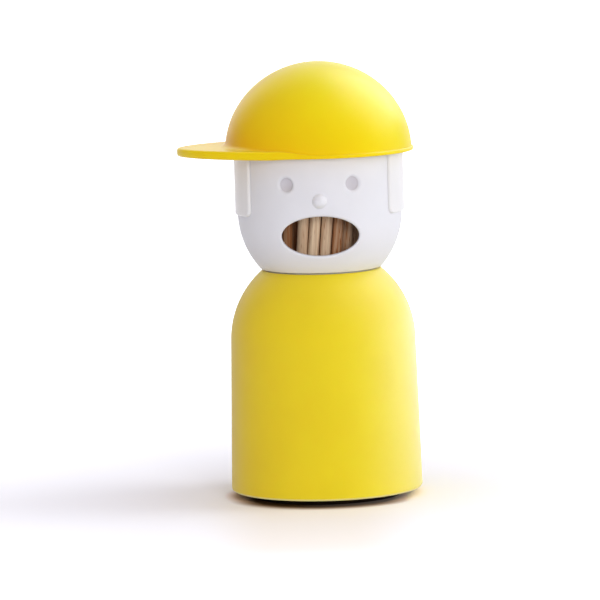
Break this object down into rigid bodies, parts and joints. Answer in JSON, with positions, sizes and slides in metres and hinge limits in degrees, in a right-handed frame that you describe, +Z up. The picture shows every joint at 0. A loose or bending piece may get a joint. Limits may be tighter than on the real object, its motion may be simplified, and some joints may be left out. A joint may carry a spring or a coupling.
{
  "type": "toothpick dispenser",
  "caption": "Figure-shaped toothpick dispenser: bell body, cup head with an open mouth showing the picks, and a lift-off peaked cap.",
  "frame": {"origin": "on the axis of the body, at the underside of the foot pad", "axes": "+Z up along the axis of the body, -Y the way the face looks, -X the way the peak of the cap points at rest"},
  "size_m": [0.0469, 0.038, 0.0862],
  "materials": {
    "body_yellow": "soft matte yellow",
    "cap_yellow": "satin yellow",
    "head_white": "satin white",
    "flap_milky": "milky white",
    "inner_white": "plain moulded white",
    "plug_black": "matte black",
    "foot_rubber": "matte black foam rubber",
    "pick_wood": "raw pale wood"
  },
  "bodies": {
    "body": {"foot_pad": "foot_rubber", "bottom_plug": "plug_black", "body_shell": "body_yellow", "pick_cup": "inner_white", "toothpick_01": "pick_wood", "toothpick_02": "pick_wood", "toothpick_03": "pick_wood", "toothpick_04": "pick_wood", "toothpick_05": "pick_wood", "toothpick_06": "pick_wood", "toothpick_07": "pick_wood", "toothpick_08": "pick_wood", "toothpick_09": "pick_wood", "toothpick_10": "pick_wood", "toothpick_11": "pick_wood", "toothpick_12": "pick_wood", "toothpick_13": "pick_wood", "toothpick_14": "pick_wood", "toothpick_15": "pick_wood", "toothpick_16": "pick_wood", "toothpick_17": "pick_wood", "toothpick_18": "pick_wood", "toothpick_19": "pick_wood", "toothpick_20": "pick_wood", "toothpick_21": "pick_wood", "toothpick_22": "pick_wood", "toothpick_23": "pick_wood", "toothpick_24": "pick_wood", "toothpick_25": "pick_wood", "toothpick_26": "pick_wood", "toothpick_27": "pick_wood", "toothpick_28": "pick_wood", "toothpick_29": "pick_wood", "toothpick_30": "pick_wood", "toothpick_31": "pick_wood", "toothpick_32": "pick_wood", "toothpick_33": "pick_wood", "toothpick_34": "pick_wood", "toothpick_35": "pick_wood", "toothpick_36": "pick_wood", "toothpick_37": "pick_wood", "toothpick_38": "pick_wood", "toothpick_39": "pick_wood", "toothpick_40": "pick_wood", "toothpick_41": "pick_wood", "toothpick_42": "pick_wood", "toothpick_43": "pick_wood"},
    "sleeve": {"neck_sleeve": "inner_white"},
    "head": {"head_shell": "head_white", "left_side_flap": "flap_milky", "right_side_flap": "flap_milky"},
    "liner": {"cap_liner": "inner_white"},
    "cap": {"cap_shell": "cap_yellow"}
  },
  "joints": [
    {"name": "head_turn", "type": "hinge", "parent": "body", "child": "sleeve", "pos_m": [0, 0, 0.0454], "axis": [0, 0, 1], "continuous": true},
    {"name": "head_lift", "type": "slide", "parent": "sleeve", "child": "head", "axis": [0, 0, 1], "range_m": [0, 0.032]},
    {"name": "cap_lift", "type": "slide", "parent": "head", "child": "liner", "axis": [0, 0, 1], "range_m": [0, 0.025]},
    {"name": "cap_turn", "type": "hinge", "parent": "liner", "child": "cap", "pos_m": [0, 0, 0.0713], "axis": [0, 0, 1], "continuous": true}
  ]
}
